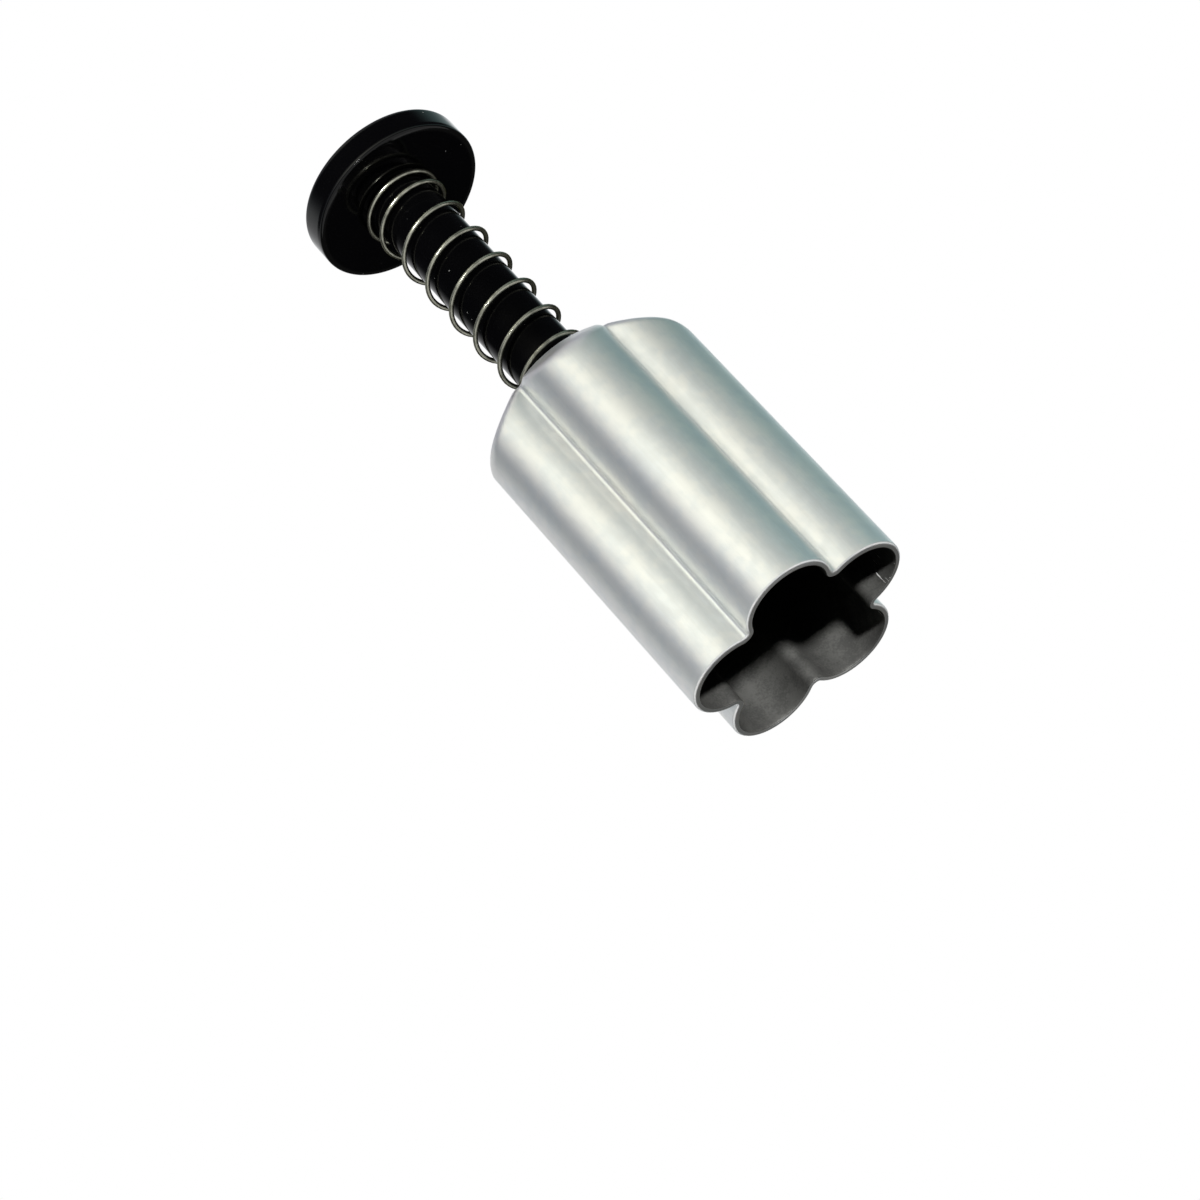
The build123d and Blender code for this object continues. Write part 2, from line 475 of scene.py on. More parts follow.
@dataclass(frozen=True)
class PetalForm:
    """The cutter's outline: an arc for each petal and a small arc for each groove between two."""

    reach: float
    groove_depth: float = 2.92 * MM
    groove_radius: float = 0.37 * MM
    count: int = 5
    first_angle: float = -math.pi / 2
    petal_steps: int = 40
    groove_steps: int = 12

    @property
    def half_petal(self) -> float:
        """Half the angle between two petals."""
        return math.pi / self.count

    @property
    def groove_centre(self) -> float:
        """How far the centres of the groove arcs are from the axis."""
        return self.reach - self.groove_depth + self.groove_radius

    @property
    def petal_radius(self) -> float:
        """Work out the arc that reaches a petal's tip and is tangent to both of its grooves.

        Returns:
            Its radius.
        """
        toward = self.groove_centre * math.cos(self.half_petal)
        squares = self.reach**2 + self.groove_centre**2 - self.groove_radius**2
        span = 2 * (self.reach - toward + self.groove_radius)
        return (squares - 2 * self.reach * toward) / span

    def draw(self, bm: BMesh) -> tuple[list[Vector], list[tuple[Vector, float]]]:
        """Draw the outline as one closed loop by turning a vertex about each arc's centre.

        Args:
            bm: the mesh to draw it in.

        Returns:
            The loop's points, and the centre and radius of each one's arc. A groove's radius is
            negative, because its arc grows when the outline moves in.
        """
        arcs: list[tuple[Vector, float]] = []
        first = last = None
        for number in range(self.count):
            middle = self.first_angle + 2 * self.half_petal * number
            petal = _polar(self.reach - self.petal_radius, middle)
            before = _polar(self.groove_centre, middle - self.half_petal)
            after = _polar(self.groove_centre, middle + self.half_petal)
            if first is None:
                start = petal + (before - petal).normalized() * self.petal_radius
                first = last = bm.verts.new(start)
                arcs.append((petal, self.petal_radius))
            petal_sweep = 2 * (after - petal).angle(_polar(1, middle))
            groove_sweep = 2 * (petal - after).angle(-after)
            for centre, radius, sweep, steps in (
                (petal, self.petal_radius, petal_sweep, self.petal_steps),
                (after, -self.groove_radius, -groove_sweep, self.groove_steps),
            ):
                turn = {"cent": centre, "axis": UP, "angle": sweep, "steps": steps}
                made = bmesh.ops.spin(bm, geom=[last], **turn)
                last = picked(made["geom_last"], BMVert)[0]
                arcs += [(centre, radius)] * steps
        bmesh.ops.weld_verts(bm, targetmap={last: first})
        bm.verts.ensure_lookup_table()
        points = [v.co.copy() for v in bm.verts]
        return points, arcs[: len(points)]


def _polar(radius: float, angle: float) -> Vector:
    """Return the point at a radius and an angle, at height 0."""
    return Vector((radius * math.cos(angle), radius * math.sin(angle), 0))


def picked(geometry: Iterable[object], kind: type) -> list:
    """Return the elements of one kind from what a bmesh operator gives."""
    return [element for element in geometry if isinstance(element, kind)]


def raised(point: Vector, height: Height) -> Vector:
    """Return a point moved to a height, or to the height that a function gives for its radius."""
    level = height(point.to_2d().length) if callable(height) else height
    return Vector((point.x, point.y, level))


@dataclass(frozen=True)
class Shoulder:
    """The cone that closes the shell, with a large rounding below it and a small one above."""

    reach: float
    height: float
    drop: float = 2.55 * MM
    run: float = 3.0 * MM
    corner_round: float = 1.5 * MM
    edge_round: float = 0.4 * MM

    @property
    def slope(self) -> float:
        """How far the cone leans from upright."""
        return math.atan2(self.run, self.drop)

    def height_at(self, radius: float, inset: float = 0) -> float:
        """Return the height of the closed end.

        Args:
            radius: the distance from the axis.
            inset: how far the surface lies under the outer one.

        Returns:
            The height.
        """
        side = self.reach - inset
        top = self.height - inset
        corner = self.height - self.drop - inset * math.tan(self.slope / 2)
        rest = math.pi / 2 - self.slope
        edge = self.reach - self.run - inset * math.tan(rest / 2)
        large = self.corner_round - inset
        if radius > side - large + large * math.cos(self.slope):
            across = min(radius - side + large, large)
            return corner - large * math.tan(self.slope / 2) + math.sqrt(large**2 - across**2)
        small = max(self.edge_round - inset, 0)
        flat = edge - small * math.tan(rest / 2)
        if radius > flat + small * math.cos(self.slope):
            return corner + (side - radius) * self.drop / self.run
        if radius > flat:
            return top - small + math.sqrt(small**2 - (radius - flat) ** 2)
        return top


class PetalSkin:
    """A closed skin, laid from a petal outline loop by loop, as outlines and circles."""

    def __init__(self, form: PetalForm) -> None:
        """Draw the outline that the first loop starts from.

        Args:
            form: the outline's form.
        """
        self.bm = bmesh.new()
        self.spot = self.bm.verts.layers.int.new("spot")
        self.points, self.arcs = form.draw(self.bm)
        for number, vertex in enumerate(self.bm.verts):
            vertex[self.spot] = number
        self.loop = list(self.bm.edges)
        self.first = self.loop
        self.inside = False

    def outline(self, inset: float, height: Height) -> Place:
        """Work out the places of the outline.

        Args:
            inset: how far it is moved in, square to itself.
            height: its height, or the function that gives it for a radius.

        Returns:
            The place of each vertex.
        """

        def place(number: int) -> Vector:
            """Return one vertex's place."""
            centre, radius = self.arcs[number]
            share = (radius - inset) / radius
            return raised(centre + (self.points[number] - centre) * share, height)

        return place

    def circle(self, radius: float, height: float, centre: Numbers = (0, 0, 0)) -> Place:
        """Return the places of a circle."""
        middle = Vector(centre) + UP * height
        return lambda number: middle + self.points[number].normalized() * radius

    @staticmethod
    def between(first: Place, second: Place, share: float, height: Height) -> Place:
        """Return the places a share of the way between two loops, each at its own height."""
        return lambda number: raised(first(number).lerp(second(number), share), height)

    def start(self, place: Place) -> list[BMEdge]:
        """Move the first loop to its places and return its edges."""
        self._settle(self.bm.verts, place)
        return self.loop

    def lay(self, place: Place) -> list[BMEdge]:
        """Extrude the last loop and move the new one to its places.

        Args:
            place: the place of each vertex.

        Returns:
            The new loop's edges.
        """
        grown = bmesh.ops.extrude_edge_only(self.bm, edges=self.loop)["geom"]
        fresh = set(picked(grown, BMVert))
        self._settle(fresh, place)
        for face in picked(grown, BMFace):
            face.material_index = int(self.inside)
        self.loop = [edge for edge in picked(grown, BMEdge) if fresh.issuperset(edge.verts)]
        return self.loop

    def _settle(self, vertices: Iterable[BMVert], place: Place) -> None:
        """Move vertices to their places."""
        for vertex in vertices:
            vertex.co = place(vertex[self.spot])

    def close(self) -> None:
        """Join the last loop to the first."""
        bmesh.ops.bridge_loops(self.bm, edges=self.loop + self.first)


@dataclass(frozen=True)
class Rounding:
    """How far a rounding reaches from its edge, and how many faces it has across."""

    width: float
    faces: int


def soften(bm: BMesh, edges: Iterable[BMEdge], rounding: Rounding) -> None:
    """Round edges off.

    Args:
        bm: their mesh.
        edges: the edges.
        rounding: the rounding that they get.
    """
    width, faces = rounding.width, rounding.faces
    options = {"profile": 0.5, "affect": "EDGES", "material": -1, "loop_slide": True}
    bmesh.ops.bevel(bm, geom=list(edges), offset=width, segments=faces, **options)


def circles_at(bm: BMesh, radius: float, height: float) -> list[BMEdge]:
    """Return the edges of a turned mesh that lie round the axis at a radius and a height."""
    spots = {
        v
        for v in bm.verts
        if max(abs(v.co.z - height), abs(v.co.to_2d().length - radius)) < NEAR
    }
    return [edge for edge in bm.edges if spots.issuperset(edge.verts)]


def turned(profile: Sequence[tuple[float, float]], steps: int, guard: float) -> BMesh:
    """Turn a body about the axis.

    Args:
        profile: the radius and height of each corner of its side, from axis to axis.
        steps: how many faces it has round the axis.
        guard: how far from its ends a long face gets a loop that keeps its shading flat.

    Returns:
        Its mesh.
    """
    bm = bmesh.new()
    last = bm.verts.new((profile[0][0], 0, profile[0][1]))
    for corner in profile[1:]:
        start, end = last.co.copy(), Vector((corner[0], 0, corner[1]))
        run = (end - start).length
        guards = (guard / run, 1 - guard / run) if run > 3 * guard else ()
        for share in (*guards, 1):
            made = bmesh.ops.extrude_vert_indiv(bm, verts=[last])
            last = made["verts"][0]
            last.co = start.lerp(end, share)
    geometry = [*bm.verts, *bm.edges]
    bmesh.ops.spin(
        bm, geom=geometry, cent=(0, 0, 0), axis=UP, angle=math.tau, steps=steps, use_merge=True
    )
    bmesh.ops.remove_doubles(bm, verts=bm.verts, dist=WELD_DISTANCE)
    return bm


def linked(name: str, data: bpy.types.ID) -> Object:
    """Add an object to the scene.

    Args:
        name: its name.
        data: its mesh, lamp or lens.

    Returns:
        The object.
    """
    made = bpy.data.objects.new(name, data)
    bpy.context.scene.collection.objects.link(made)
    return made


def new_piece(name: str, bm: BMesh, *materials: Material) -> Object:
    """Add a mesh to the scene.

    Args:
        name: its name.
        bm: the mesh, which is freed.
        *materials: its materials, in the order of its faces' numbers.

    Returns:
        Its object.
    """
    mesh = bpy.data.meshes.new(name)
    bm.to_mesh(mesh)
    bm.free()
    for material in materials:
        mesh.materials.append(material)
    return linked(name, mesh)


def shown_piece(name: str, bm: BMesh, body: Body, slot: Slot, *finishes: Finish) -> Object:
    """Dress a mesh as the piece that stands for the frame's node of the same name.

    Args:
        name: the node that it stands for.
        bm: its mesh, which is freed.
        body: the body that it moves with.
        slot: the record's slot for its finish, which is not used.
        *finishes: its finishes, in the order of its faces' numbers.

    Returns:
        The piece.
    """
    bmesh.ops.remove_doubles(bm, verts=bm.verts, dist=WELD_DISTANCE)
    bmesh.ops.recalc_face_normals(bm, faces=bm.faces)
    piece = new_piece(f"{name}_dressed", bm, *(finish.material() for finish in finishes))
    piece.data.shade_smooth()
    piece.data.set_sharp_from_angle(angle=CREASE_ANGLE)
    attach(piece, body.value)
    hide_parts(name)
    log.info("%s: %d faces, on %s", name, len(piece.data.polygons), body.value)
    return piece


@dataclass
class CutterBody:
    """The petal shell, with its bevelled edge and closed shoulder, and the spring on it."""

    form: PetalForm
    height: float
    outside: Finish = SatinMetal()
    inside: Finish = ShadedBoreMetal()
    wire: Finish = SpringSteel()
    wall: float = 0.5 * MM
    edge_bevel: float = 0.18 * MM
    edge_land_share: float = 0.65
    edge_soften: Rounding = Rounding(0.08 * MM, 3)
    inner_edge_soften: Rounding = Rounding(0.2 * MM, 4)
    crease_round: float = 0.55 * MM
    crease_steps: int = 6
    guard: float = 0.2 * MM
    inner_guard: float = 0.4 * MM
    rod_hole: float = 2.85 * MM
    ring_share: float = 0.89
    shoulder_shares: Numbers = (0.1, 0.22, 0.35, 0.48, 0.6, 0.7, 0.78, 0.86, 0.93, 1)
    wall_height_shares: Numbers = (0.1, 0.35, 0.65)
    wire_radius: float = 0.2 * MM
    wire_sides: int = 16
    wire_end_round: Rounding = Rounding(0.05 * MM, 2)
    end_turns: float = 0.25
    closing_lead: float = 0.5 * MM
    lower_closing_turns: float = 2.25
    open_turns: float = 4.75
    upper_closing_turns: float = 1.75
    first_wire_angle: float = math.radians(323)
    steps_per_turn: int = 48
    pressed_spring_share: float = 0.215

    def build_shell(self) -> None:
        """Build the petal shell."""
        shoulder = Shoulder(self.form.reach, self.height)
        inner_height = partial(shoulder.height_at, inset=self.wall)
        skin = PetalSkin(self.form)
        lay, outline, circle = skin.lay, skin.outline, skin.circle
        edges = [*skin.start(outline(self.wall * (1 - self.edge_land_share), 0))]
        edges += lay(outline(0, self.edge_bevel))
        lay(outline(0, self.edge_bevel + self.guard))
        for share in self.wall_height_shares:
            lay(outline(0, self.height * share))
        self._lay_crease(skin, shoulder)
        rim = outline(self.crease_round, 0)
        ring_radius = (self.form.reach - self.form.groove_depth) * self.ring_share
        ring = circle(ring_radius, 0)
        for share in self.shoulder_shares:
            lay(skin.between(rim, ring, share, shoulder.height_at))
        lay(circle(self.rod_hole + self.guard, self.height))
        edges += lay(circle(self.rod_hole, self.height))
        edges += lay(circle(self.rod_hole, self.height - self.wall))
        skin.inside = True
        inner_rim = outline(self.wall, 0)
        inner_ring = circle(ring_radius - self.wall, 0)
        lay(circle(ring_radius - self.wall, self.height - self.wall))
        for share in reversed(self.shoulder_shares[:-1]):
            lay(skin.between(inner_rim, inner_ring, share, inner_height))
        lay(outline(self.wall, inner_height))
        for share in reversed(self.wall_height_shares):
            lay(outline(self.wall, self.height * share))
        lay(outline(self.wall, self.inner_guard))
        inner_edge = lay(outline(self.wall, 0))
        skin.inside = False
        skin.close()
        soften(skin.bm, edges, self.edge_soften)
        soften(skin.bm, inner_edge, self.inner_edge_soften)
        finishes = (self.outside, self.inside)
        shown_piece("cutter_shell", skin.bm, Body.CUTTER, Slot.SATIN_METAL, *finishes)

    def _lay_crease(self, skin: PetalSkin, shoulder: Shoulder) -> None:
        """Lay the rounding between the petal wall and the shoulder.

        Args:
            skin: the shell's skin.
            shoulder: its closed end.
        """
        below = self.crease_round + self.guard
        skin.lay(skin.outline(0, lambda radius: shoulder.height_at(radius) - below))
        for step in range(self.crease_steps + 1):
            turn = math.pi / 2 * step / self.crease_steps
            inset = self.crease_round * (1 - math.cos(turn))
            fall = self.crease_round * (1 - math.sin(turn))
            skin.lay(skin.outline(inset, lambda radius: shoulder.height_at(radius) - fall))

    def build_spring(self) -> None:
        """Build the return spring, which the knob shortens in use, as one wire wound step by step.
        """
        low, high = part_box("return_spring")
        coil_radius = high.x - self.wire_radius
        leads = self._leads(high.z - low.z - 2 * self.wire_radius)
        angle = math.tau / self.steps_per_turn
        start = _polar(coil_radius, self.first_wire_angle) + UP * (low.z + self.wire_radius)
        lean = math.atan2(self.closing_lead, math.tau * coil_radius)
        turn = Euler((math.pi / 2 + lean, 0, self.first_wire_angle)).to_matrix().to_4x4()
        bm = bmesh.new()
        place = Matrix.Translation(start) @ turn
        bmesh.ops.create_circle(bm, segments=self.wire_sides, radius=self.wire_radius, matrix=place)
        first = list(bm.edges)
        geometry = [*bm.verts, *first]
        for lead in leads:
            climb = UP * (lead / self.steps_per_turn)
            geometry = bmesh.ops.spin(
                bm, geom=geometry, cent=(0, 0, 0), axis=UP, dvec=climb, angle=angle, steps=1
            )["geom_last"]
        for end in (first, picked(geometry, BMEdge)):
            face = bmesh.ops.contextual_create(bm, geom=end)["faces"][0]
            soften(bm, face.edges, self.wire_end_round)
        spring = shown_piece("return_spring", bm, Body.CUTTER, Slot.SPRING_WIRE, self.wire)
        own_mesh(spring)

    def _leads(self, climb: float) -> list[float]:
        """Work out how steeply the wire climbs.

        Args:
            climb: how far its centre climbs in all.

        Returns:
            The climb in a whole turn at each step.
        """
        closed = self.closing_lead
        closing = (self.lower_closing_turns + self.upper_closing_turns) / 2
        opened = (climb - closed * (closing + 2 * self.end_turns)) / (self.open_turns + closing)
        stretches = (
            (self.end_turns, closed, closed),
            (self.lower_closing_turns, closed, opened),
            (self.open_turns, opened, opened),
            (self.upper_closing_turns, opened, closed),
            (self.end_turns, closed, closed),
        )
        leads: list[float] = []
        for turns, low, high in stretches:
            steps = round(turns * self.steps_per_turn)
            leads += [low + (high - low) * (step + 0.5) / steps for step in range(steps)]
        return leads


@dataclass
class Plunger:
    """The rod with the knob pressed on its upper end and the ejector pad held on its lower end."""

    form: PetalForm
    finish: Finish = GlossPlastic("black_plastic")
    pad_finish: Finish = GlossPlastic("black_plastic_pad", roughness=0.32)
    steps: int = 128
    guard_share: float = 1.5
    pad_inset: float = 0.7 * MM
    pad_plate: float = 3.0 * MM
    pad_edge_round: Rounding = Rounding(0.3 * MM, 4)
    boss_wall: float = 1.607 * MM
    boss_foot_round: Rounding = Rounding(0.5 * MM, 4)
    web: float = 1.6 * MM
    fit: float = 0.02 * MM
    spigot_radius: float = 1.9 * MM
    spigot_chamfer: float = 0.25 * MM
    tenon_radius: float = 1.5 * MM
    head_radius: float = 2.3 * MM
    head_rim: float = 0.25 * MM
    head_crown: float = 0.35 * MM
    head_clearance: float = 0.3 * MM
    crown_steps: int = 8
    knob_edge_round: Rounding = Rounding(0.4 * MM, 8)
    knob_lower_round: Rounding = Rounding(0.2 * MM, 5)
    knob_web: float = 0.9 * MM
    rod_edge_round: Rounding = Rounding(0.08 * MM, 2)
    rod_guard: float = 0.24 * MM

    def build_rod(self) -> None:
        """Build the rod with its spigot, its tenon and the tenon's domed head."""
        low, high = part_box("plunger_rod")
        knob_low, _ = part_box("thumb_knob")
        radius = high.x
        rim = low.z + self.head_crown
        under_web = rim + self.head_rim
        shoulder = under_web + self.web
        dome = (self.head_radius**2 + self.head_crown**2) / (2 * self.head_crown)
        sweep = math.asin(self.head_radius / dome)
        turns = [sweep * step / self.crown_steps for step in range(self.crown_steps + 1)]
        profile = [(dome * math.sin(turn), low.z + dome * (1 - math.cos(turn))) for turn in turns]
        profile += [
            (self.head_radius, under_web),
            (self.tenon_radius, under_web),
            (self.tenon_radius, shoulder),
            (radius, shoulder),
            (radius, knob_low.z),
            (self.spigot_radius, knob_low.z),
            (self.spigot_radius, high.z - self.spigot_chamfer),
            (self.spigot_radius - self.spigot_chamfer, high.z),
            (0, high.z),
        ]
        bm = turned(profile, self.steps, self.rod_guard)
        edges = circles_at(bm, radius, shoulder) + circles_at(bm, radius, knob_low.z)
        soften(bm, edges, self.rod_edge_round)
        shown_piece("plunger_rod", bm, Body.PLUNGER, Slot.BLACK_PLASTIC, self.finish)

    def build_knob(self) -> None:
        """Build the thumb knob with its rounded edges and the blind bore for the rod's spigot."""
        low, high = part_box("thumb_knob")
        bore = self.spigot_radius + self.fit
        bore_end = high.z - self.knob_web
        profile = [(0, bore_end), (bore, bore_end), (bore, low.z)]
        profile += [(high.x, low.z), (high.x, high.z), (0, high.z)]
        bm = turned(profile, self.steps, self.guard_share * self.knob_edge_round.width)
        soften(bm, circles_at(bm, high.x, low.z), self.knob_lower_round)
        soften(bm, circles_at(bm, high.x, high.z), self.knob_edge_round)
        shown_piece("thumb_knob", bm, Body.PLUNGER, Slot.BLACK_PLASTIC, self.finish)

    def build_pad(self) -> None:
        """Build the petal pad with its boss, the rod's socket and the recess for the head."""
        low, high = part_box("ejector_pad")
        plate_top = low.z + self.pad_plate
        under_web = low.z + self.head_clearance + self.head_crown + self.head_rim
        rod_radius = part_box("plunger_rod")[1].x
        boss = rod_radius + self.boss_wall
        socket = rod_radius + self.fit
        tenon_hole = self.tenon_radius + self.fit
        recess = self.head_radius + self.head_clearance
        skin = PetalSkin(self.form)
        lay, outline, circle = skin.lay, skin.outline, skin.circle
        guard = self.guard_share * self.pad_edge_round.width
        face_edge = skin.start(outline(self.pad_inset, low.z))
        lay(outline(self.pad_inset, low.z + guard))
        lay(outline(self.pad_inset, plate_top - guard))
        top_edge = lay(outline(self.pad_inset, plate_top))
        lay(outline(self.pad_inset + guard, plate_top))
        foot = lay(circle(boss, plate_top))
        for radius, height in (
            (boss, high.z),
            (socket, high.z),
            (socket, under_web + self.web),
            (tenon_hole, under_web + self.web),
            (tenon_hole, under_web),
            (recess, under_web),
        ):
            lay(circle(radius, height))
        recess_edge = lay(circle(recess, low.z))
        lay(circle(recess + guard, low.z))
        lay(outline(self.pad_inset + guard, low.z))
        skin.close()
        soften(skin.bm, foot, self.boss_foot_round)
        soften(skin.bm, face_edge, self.pad_edge_round)
        soften(skin.bm, top_edge + recess_edge, self.rod_edge_round)
        shown_piece("ejector_pad", skin.bm, Body.PLUNGER, Slot.BLACK_PLASTIC, self.pad_finish)


@dataclass(frozen=True)
class SoftSun:
    """A distant, even lamp, whose angles are in degrees."""

    name: str
    azimuth: float
    elevation: float
    strength: float
    softness: float
    on_metal: bool = False

    def add(self) -> float:
        """Add the lamp.

        Returns:
            The brightness that it alone gives to a level white surface.
        """
        lamp = bpy.data.lights.new(self.name, "SUN")
        lamp.energy = self.strength
        lamp.angle = math.radians(self.softness)
        made = linked(self.name, lamp)
        made.rotation_mode = "QUATERNION"
        made.rotation_quaternion = facing(self.azimuth, self.elevation).to_track_quat("Z", "Y")
        made.visible_glossy = self.on_metal
        return max(self.strength * math.sin(math.radians(self.elevation)) / math.pi, 0)


def facing(azimuth: float, elevation: float) -> Vector:
    """Return the direction to an azimuth, 0 on the -Y side, and an elevation, in degrees."""
    turn, lift = math.radians(azimuth), math.radians(elevation)
    return Vector(
        (math.sin(turn) * math.cos(lift), -math.cos(turn) * math.cos(lift), math.sin(lift))
    )


@dataclass(frozen=True)
class LightTent:
    """The light tent that only reflections see, with bright and dark panels round the tool.

    Its spans are of heights and depths, in shares of the radius.
    """

    radius: float = 0.8
    segments: int = 48
    rings: int = 24
    # Each upright panel stands at a share of a turn from the +X side by way of the back.
    panels: Sequence[tuple[float, Colour]] = (
        (0, (0.31, 0.46, 0.46)),
        (0.06, (0.28, 0.43, 0.43)),
        (0.12, (0.47, 0.59, 0.6)),
        (0.165, (1.2, 1.23, 1.25)),
        (0.31, (0.76, 0.77, 0.78)),
        (0.37, (0.7, 0.7, 0.71)),
        (0.43, (0.74, 0.77, 0.77)),
        (0.5, (0.36, 0.4, 0.42)),
        (0.565, (0.54, 0.57, 0.63)),
        (0.61, (1.36, 1.38, 1.32)),
        (0.655, (2.06, 2.1, 1.9)),
        (0.72, (2.25, 2.25, 1.98)),
        (0.775, (1.5, 1.53, 1.37)),
        (0.85, (0.82, 0.88, 0.83)),
        (0.92, (0.61, 0.74, 0.69)),
        (0.97, (0.39, 0.55, 0.53)),
        (1, (0.31, 0.46, 0.46)),
    )
    roof_colour: Colour = (0.41, 0.40, 0.45)
    roof_span: Span = (0.66, 0.97)
    gap_colour: Colour = (0.03, 0.03, 0.035)
    gap_back_span: Span = (-0.75, -0.3)
    gap_low_span: Span = (0.555, 0.575)
    gap_high_span: Span = (-0.74, -0.7)
    gap_step: float = 0.45
    gap_step_span: Span = (0.635, 0.65)
    base_front_colour: Colour = (0.08, 0.08, 0.08)
    base_back_colour: Colour = (0.11, 0.11, 0.105)
    base_back_span: Span = (-0.3, 0.3)
    base_high_span: Span = (-0.34, -0.12)
    # The flag is a small round panel, and its span is of the cosine of the angle from its middle.
    flag_colour: Colour = (0.02, 0.02, 0.025)
    flag_azimuth: float = 168
    flag_elevation: float = -34
    flag_span: Span = (0.992, 0.997)

    def build(self) -> None:
        """Build the tent round the tool."""
        bm = bmesh.new()
        sizes = {"u_segments": self.segments, "v_segments": self.rings, "radius": self.radius}
        bmesh.ops.create_uvsphere(bm, **sizes)
        bmesh.ops.reverse_faces(bm, faces=bm.faces)
        tent = new_piece("light_tent", bm, self._material())
        tent.visible_camera = tent.visible_diffuse = tent.visible_shadow = False
        tent.visible_transmission = tent.visible_volume_scatter = False

    def _material(self) -> Material:
        """Make the glowing material of all the panels.

        Returns:
            The material.
        """
        bench = Bench(bpy.data.materials.new("tent_panels"))
        here = bench.node("ShaderNodeTexCoord", output="Object")
        across, deep, high = (bench.part(here, axis) for axis in "XYZ")
        turn = bench.math("FRACT", bench.math("ARCTAN2", deep, across) / math.tau + 1)
        panels = bench.node("ShaderNodeValToRGB", inputs={"Fac": turn})
        stops = panels.output.node.color_ramp.elements
        while len(stops) < len(self.panels):
            stops.new(1)
        for stop, (place, colour) in zip(stops, self.panels):
            stop.position = place
            stop.color = (*colour, 1)
        lift = high / self.radius
        back = deep / self.radius
        upper = bench.blended(bench.ramped(lift, self.roof_span), panels, self.roof_colour)
        step = bench.ramped(lift, self.gap_step_span) * self.gap_step
        gap = bench.ramped(0 - back - step, self.gap_back_span)
        gap = gap * bench.ramped(lift, self.gap_low_span)
        gap = gap * bench.ramped(0 - lift, self.gap_high_span)
        wall = bench.blended(gap, upper, self.gap_colour)
        behind = bench.ramped(back, self.base_back_span)
        base = bench.blended(behind, self.base_front_colour, self.base_back_colour)
        lower = bench.blended(bench.ramped(0 - lift, self.base_high_span), wall, base)
        ends = {0: here, 1: facing(self.flag_azimuth, self.flag_elevation)}
        along = bench.node("ShaderNodeVectorMath", {"operation": "DOT_PRODUCT"}, ends, "Value")
        flag = bench.ramped(along / self.radius, self.flag_span)
        glow = bench.blended(flag, lower, self.flag_colour)
        bench.close(bench.node("ShaderNodeEmission", inputs={"Color": glow, "Strength": 1.0}))
        bench.holder.cycles.emission_sampling = "NONE"
        return bench.holder


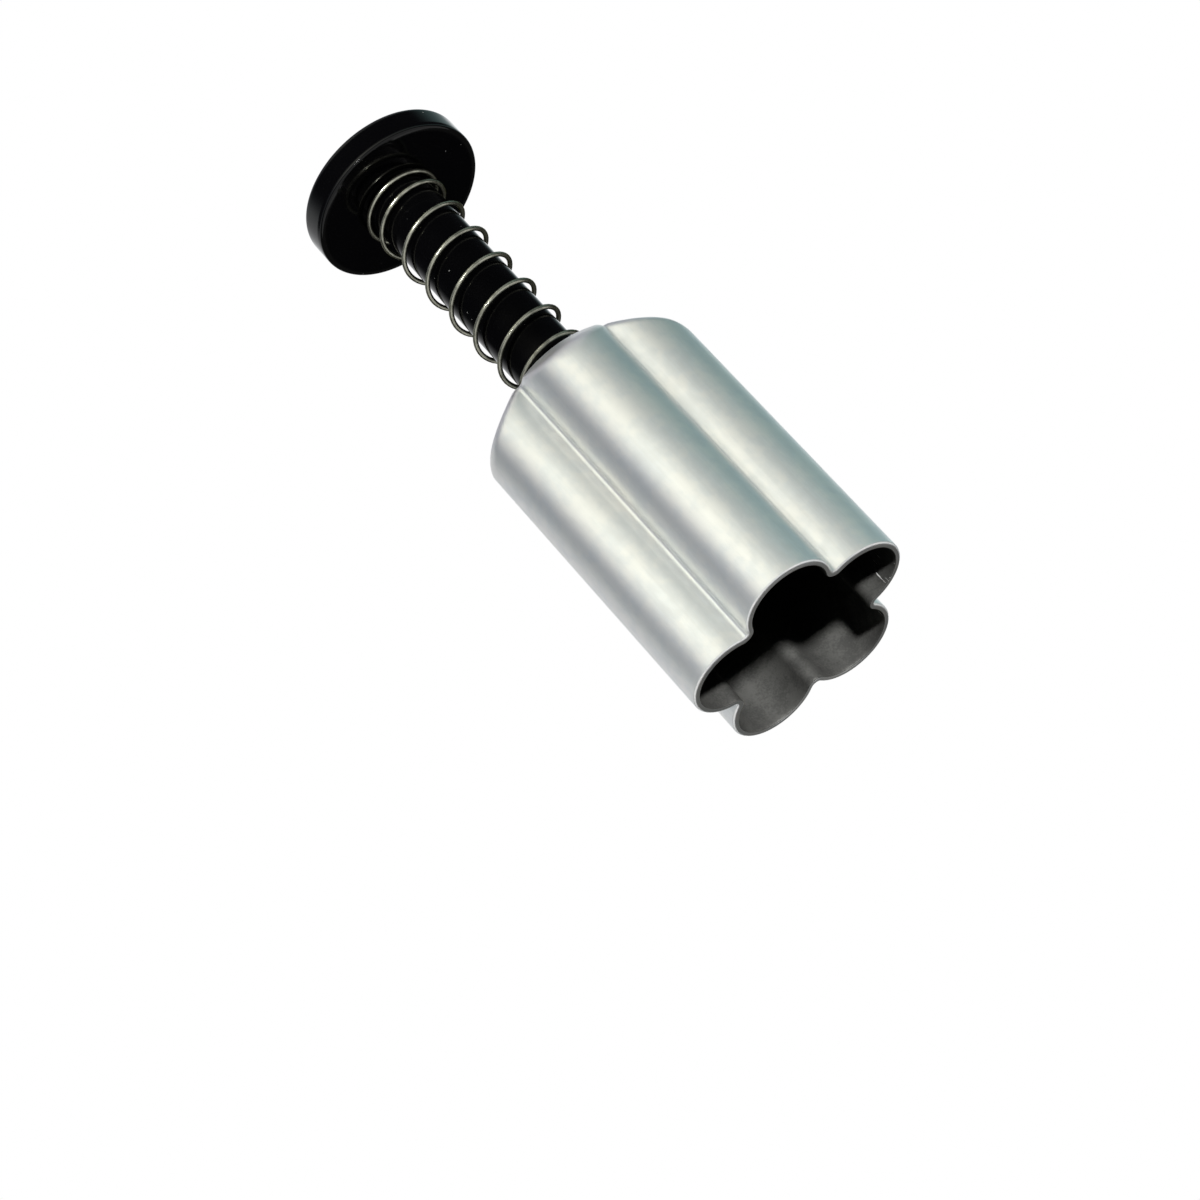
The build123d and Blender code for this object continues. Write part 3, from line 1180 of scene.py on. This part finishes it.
@dataclass
class Studio:
    """A pale floor, soft lamps, a light tent and the photograph's camera."""

    form: PetalForm
    floor_reach: float = 150 * MM
    floor_centre: Numbers = (0, -100 * MM, 0)
    floor_near_share: float = 1.5
    floor_tones: Span = (0.5, 0.495)
    floor_patches: Grain = Grain(40 * MM, 2)
    floor_span: Span = (0.3, 0.7)
    card_distance: float = 80 * MM
    card_half_width: float = 13.5 * MM
    card_half_height: float = 6 * MM
    card_grain: Grain = Grain(MM, 2)
    card_tones: Span = (0.01, 0.02)
    ambient: float = 0.42
    horizon: Span = (-0.1, 0)
    camera_place: Numbers = (-45.97 * MM, -216.05 * MM, -114.71 * MM)
    camera_azimuth: float = -9.70
    camera_elevation: float = -30.17
    camera_roll: float = -41.42
    camera_lens: float = 104.66
    camera_clip: Span = (10 * MM, 10)
    tent: LightTent = LightTent()
    key: SoftSun = SoftSun("key", -60, 50, 1.5, 35)
    fill: SoftSun = SoftSun("fill", 120, 40, 0.7, 60)
    mouth: SoftSun = SoftSun("mouth", 11, -15, 4.4, 5, on_metal=True)
    glint: SoftSun = SoftSun("glint", -16, -9.5, 4.2, 5, on_metal=True)

    def build(self) -> None:
        """Add the whole studio to the scene."""
        suns = (self.key, self.fill, self.mouth, self.glint)
        level = self.ambient + sum(sun.add() for sun in suns)
        self._build_floor(level)
        self._build_card()
        self.tent.build()
        self._light_world()
        self._place_camera()
        bpy.context.scene.view_settings.view_transform = "Standard"
        log.info("studio: a level white surface renders at %.2f", level)

    def _build_floor(self, level: float) -> None:
        """Build the floor, open under the tool's mouth and see-through from below.

        Args:
            level: the brightness of a level white surface under the lamps.
        """
        skin = PetalSkin(self.form)
        skin.start(skin.outline(0, 0))
        skin.lay(skin.circle(self.floor_near_share * self.form.reach, 0))
        skin.lay(skin.circle(self.floor_reach, 0, self.floor_centre))
        bmesh.ops.recalc_face_normals(skin.bm, faces=skin.bm.faces)
        if next(iter(skin.bm.faces)).normal.z < 0:
            bmesh.ops.reverse_faces(skin.bm, faces=skin.bm.faces)
        bench = Bench(bpy.data.materials.new("pale_floor"))
        patches = bench.ramped(bench.noise(self.floor_patches), self.floor_span)
        tone = bench.blended(patches, *map(grey, self.floor_tones))
        matt = bench.node("ShaderNodeBsdfDiffuse", inputs={"Color": tone})
        lift = {"Color": WHITE, "Strength": 1 - self.floor_tones[0] * level}
        glow = bench.node("ShaderNodeEmission", inputs=lift)
        lifted = bench.node("ShaderNodeAddShader", inputs={0: matt, 1: glow})
        seen = bench.mixed(bench.background_rays(), matt, lifted)
        below = bench.node("ShaderNodeNewGeometry", output="Backfacing")
        bench.close(bench.mixed(below, seen, bench.node("ShaderNodeBsdfTransparent")))
        floor = new_piece("floor", skin.bm, bench.holder)

    def _build_card(self) -> None:
        """Build the black card under the floor that keeps the glint's light out of the mouth."""
        toward = facing(self.glint.azimuth, self.glint.elevation)
        turn = toward.to_track_quat("Z", "Y").to_matrix().to_4x4()
        size = Matrix.Diagonal((self.card_half_width, self.card_half_height, 1, 1))
        place = Matrix.Translation(toward * self.card_distance) @ turn @ size
        bm = bmesh.new()
        bmesh.ops.create_grid(bm, x_segments=1, y_segments=1, size=1, matrix=place)
        bench = Bench(bpy.data.materials.new("black_card"))
        fibre = bench.blended(bench.noise(self.card_grain), *map(grey, self.card_tones))
        bench.close(bench.node("ShaderNodeBsdfDiffuse", inputs={"Color": fibre}))
        card = new_piece("lamp_card", bm, bench.holder)
        card.visible_camera = card.visible_diffuse = card.visible_glossy = False
        card.visible_transmission = card.visible_volume_scatter = False

    def _light_world(self) -> None:
        """Give the world its white background and its even light from above."""
        world = bpy.data.worlds.new("studio")
        bpy.context.scene.world = world
        bench = Bench(world)
        up = bench.part(bench.node("ShaderNodeTexCoord", output="Generated"), "Z")
        strength = bench.ramped(up, self.horizon) * self.ambient
        even, white = (
            bench.node("ShaderNodeBackground", inputs={"Color": WHITE, "Strength": value})
            for value in (strength, 1.0)
        )
        bench.close(bench.mixed(bench.background_rays(), even, white), "ShaderNodeOutputWorld")

    def _place_camera(self) -> None:
        """Place the camera at the photograph's viewing angle, below the tool and rolled."""
        lens = bpy.data.cameras.new("camera")
        lens.lens = self.camera_lens
        lens.clip_start, lens.clip_end = self.camera_clip
        camera = linked("camera", lens)
        back = facing(self.camera_azimuth, self.camera_elevation)
        level = back.to_track_quat("Z", "Y").to_matrix().to_4x4()
        roll = Matrix.Rotation(math.radians(self.camera_roll), 4, "Z")
        camera.matrix_world = Matrix.Translation(self.camera_place) @ level @ roll
        bpy.context.scene.camera = camera


def main() -> None:
    """Build the studio and both sub-assemblies."""
    logging.basicConfig(level=logging.INFO, format="%(name)s %(message)s")
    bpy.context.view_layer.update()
    low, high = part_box("cutter_shell")
    form = PetalForm(reach=-low.y)
    Studio(form).build()
    cutter = CutterBody(form, height=high.z)
    cutter.build_shell()
    cutter.build_spring()
    plunger = Plunger(form)
    plunger.build_rod()
    plunger.build_knob()
    plunger.build_pad()


if __name__ == "__main__":
    main()
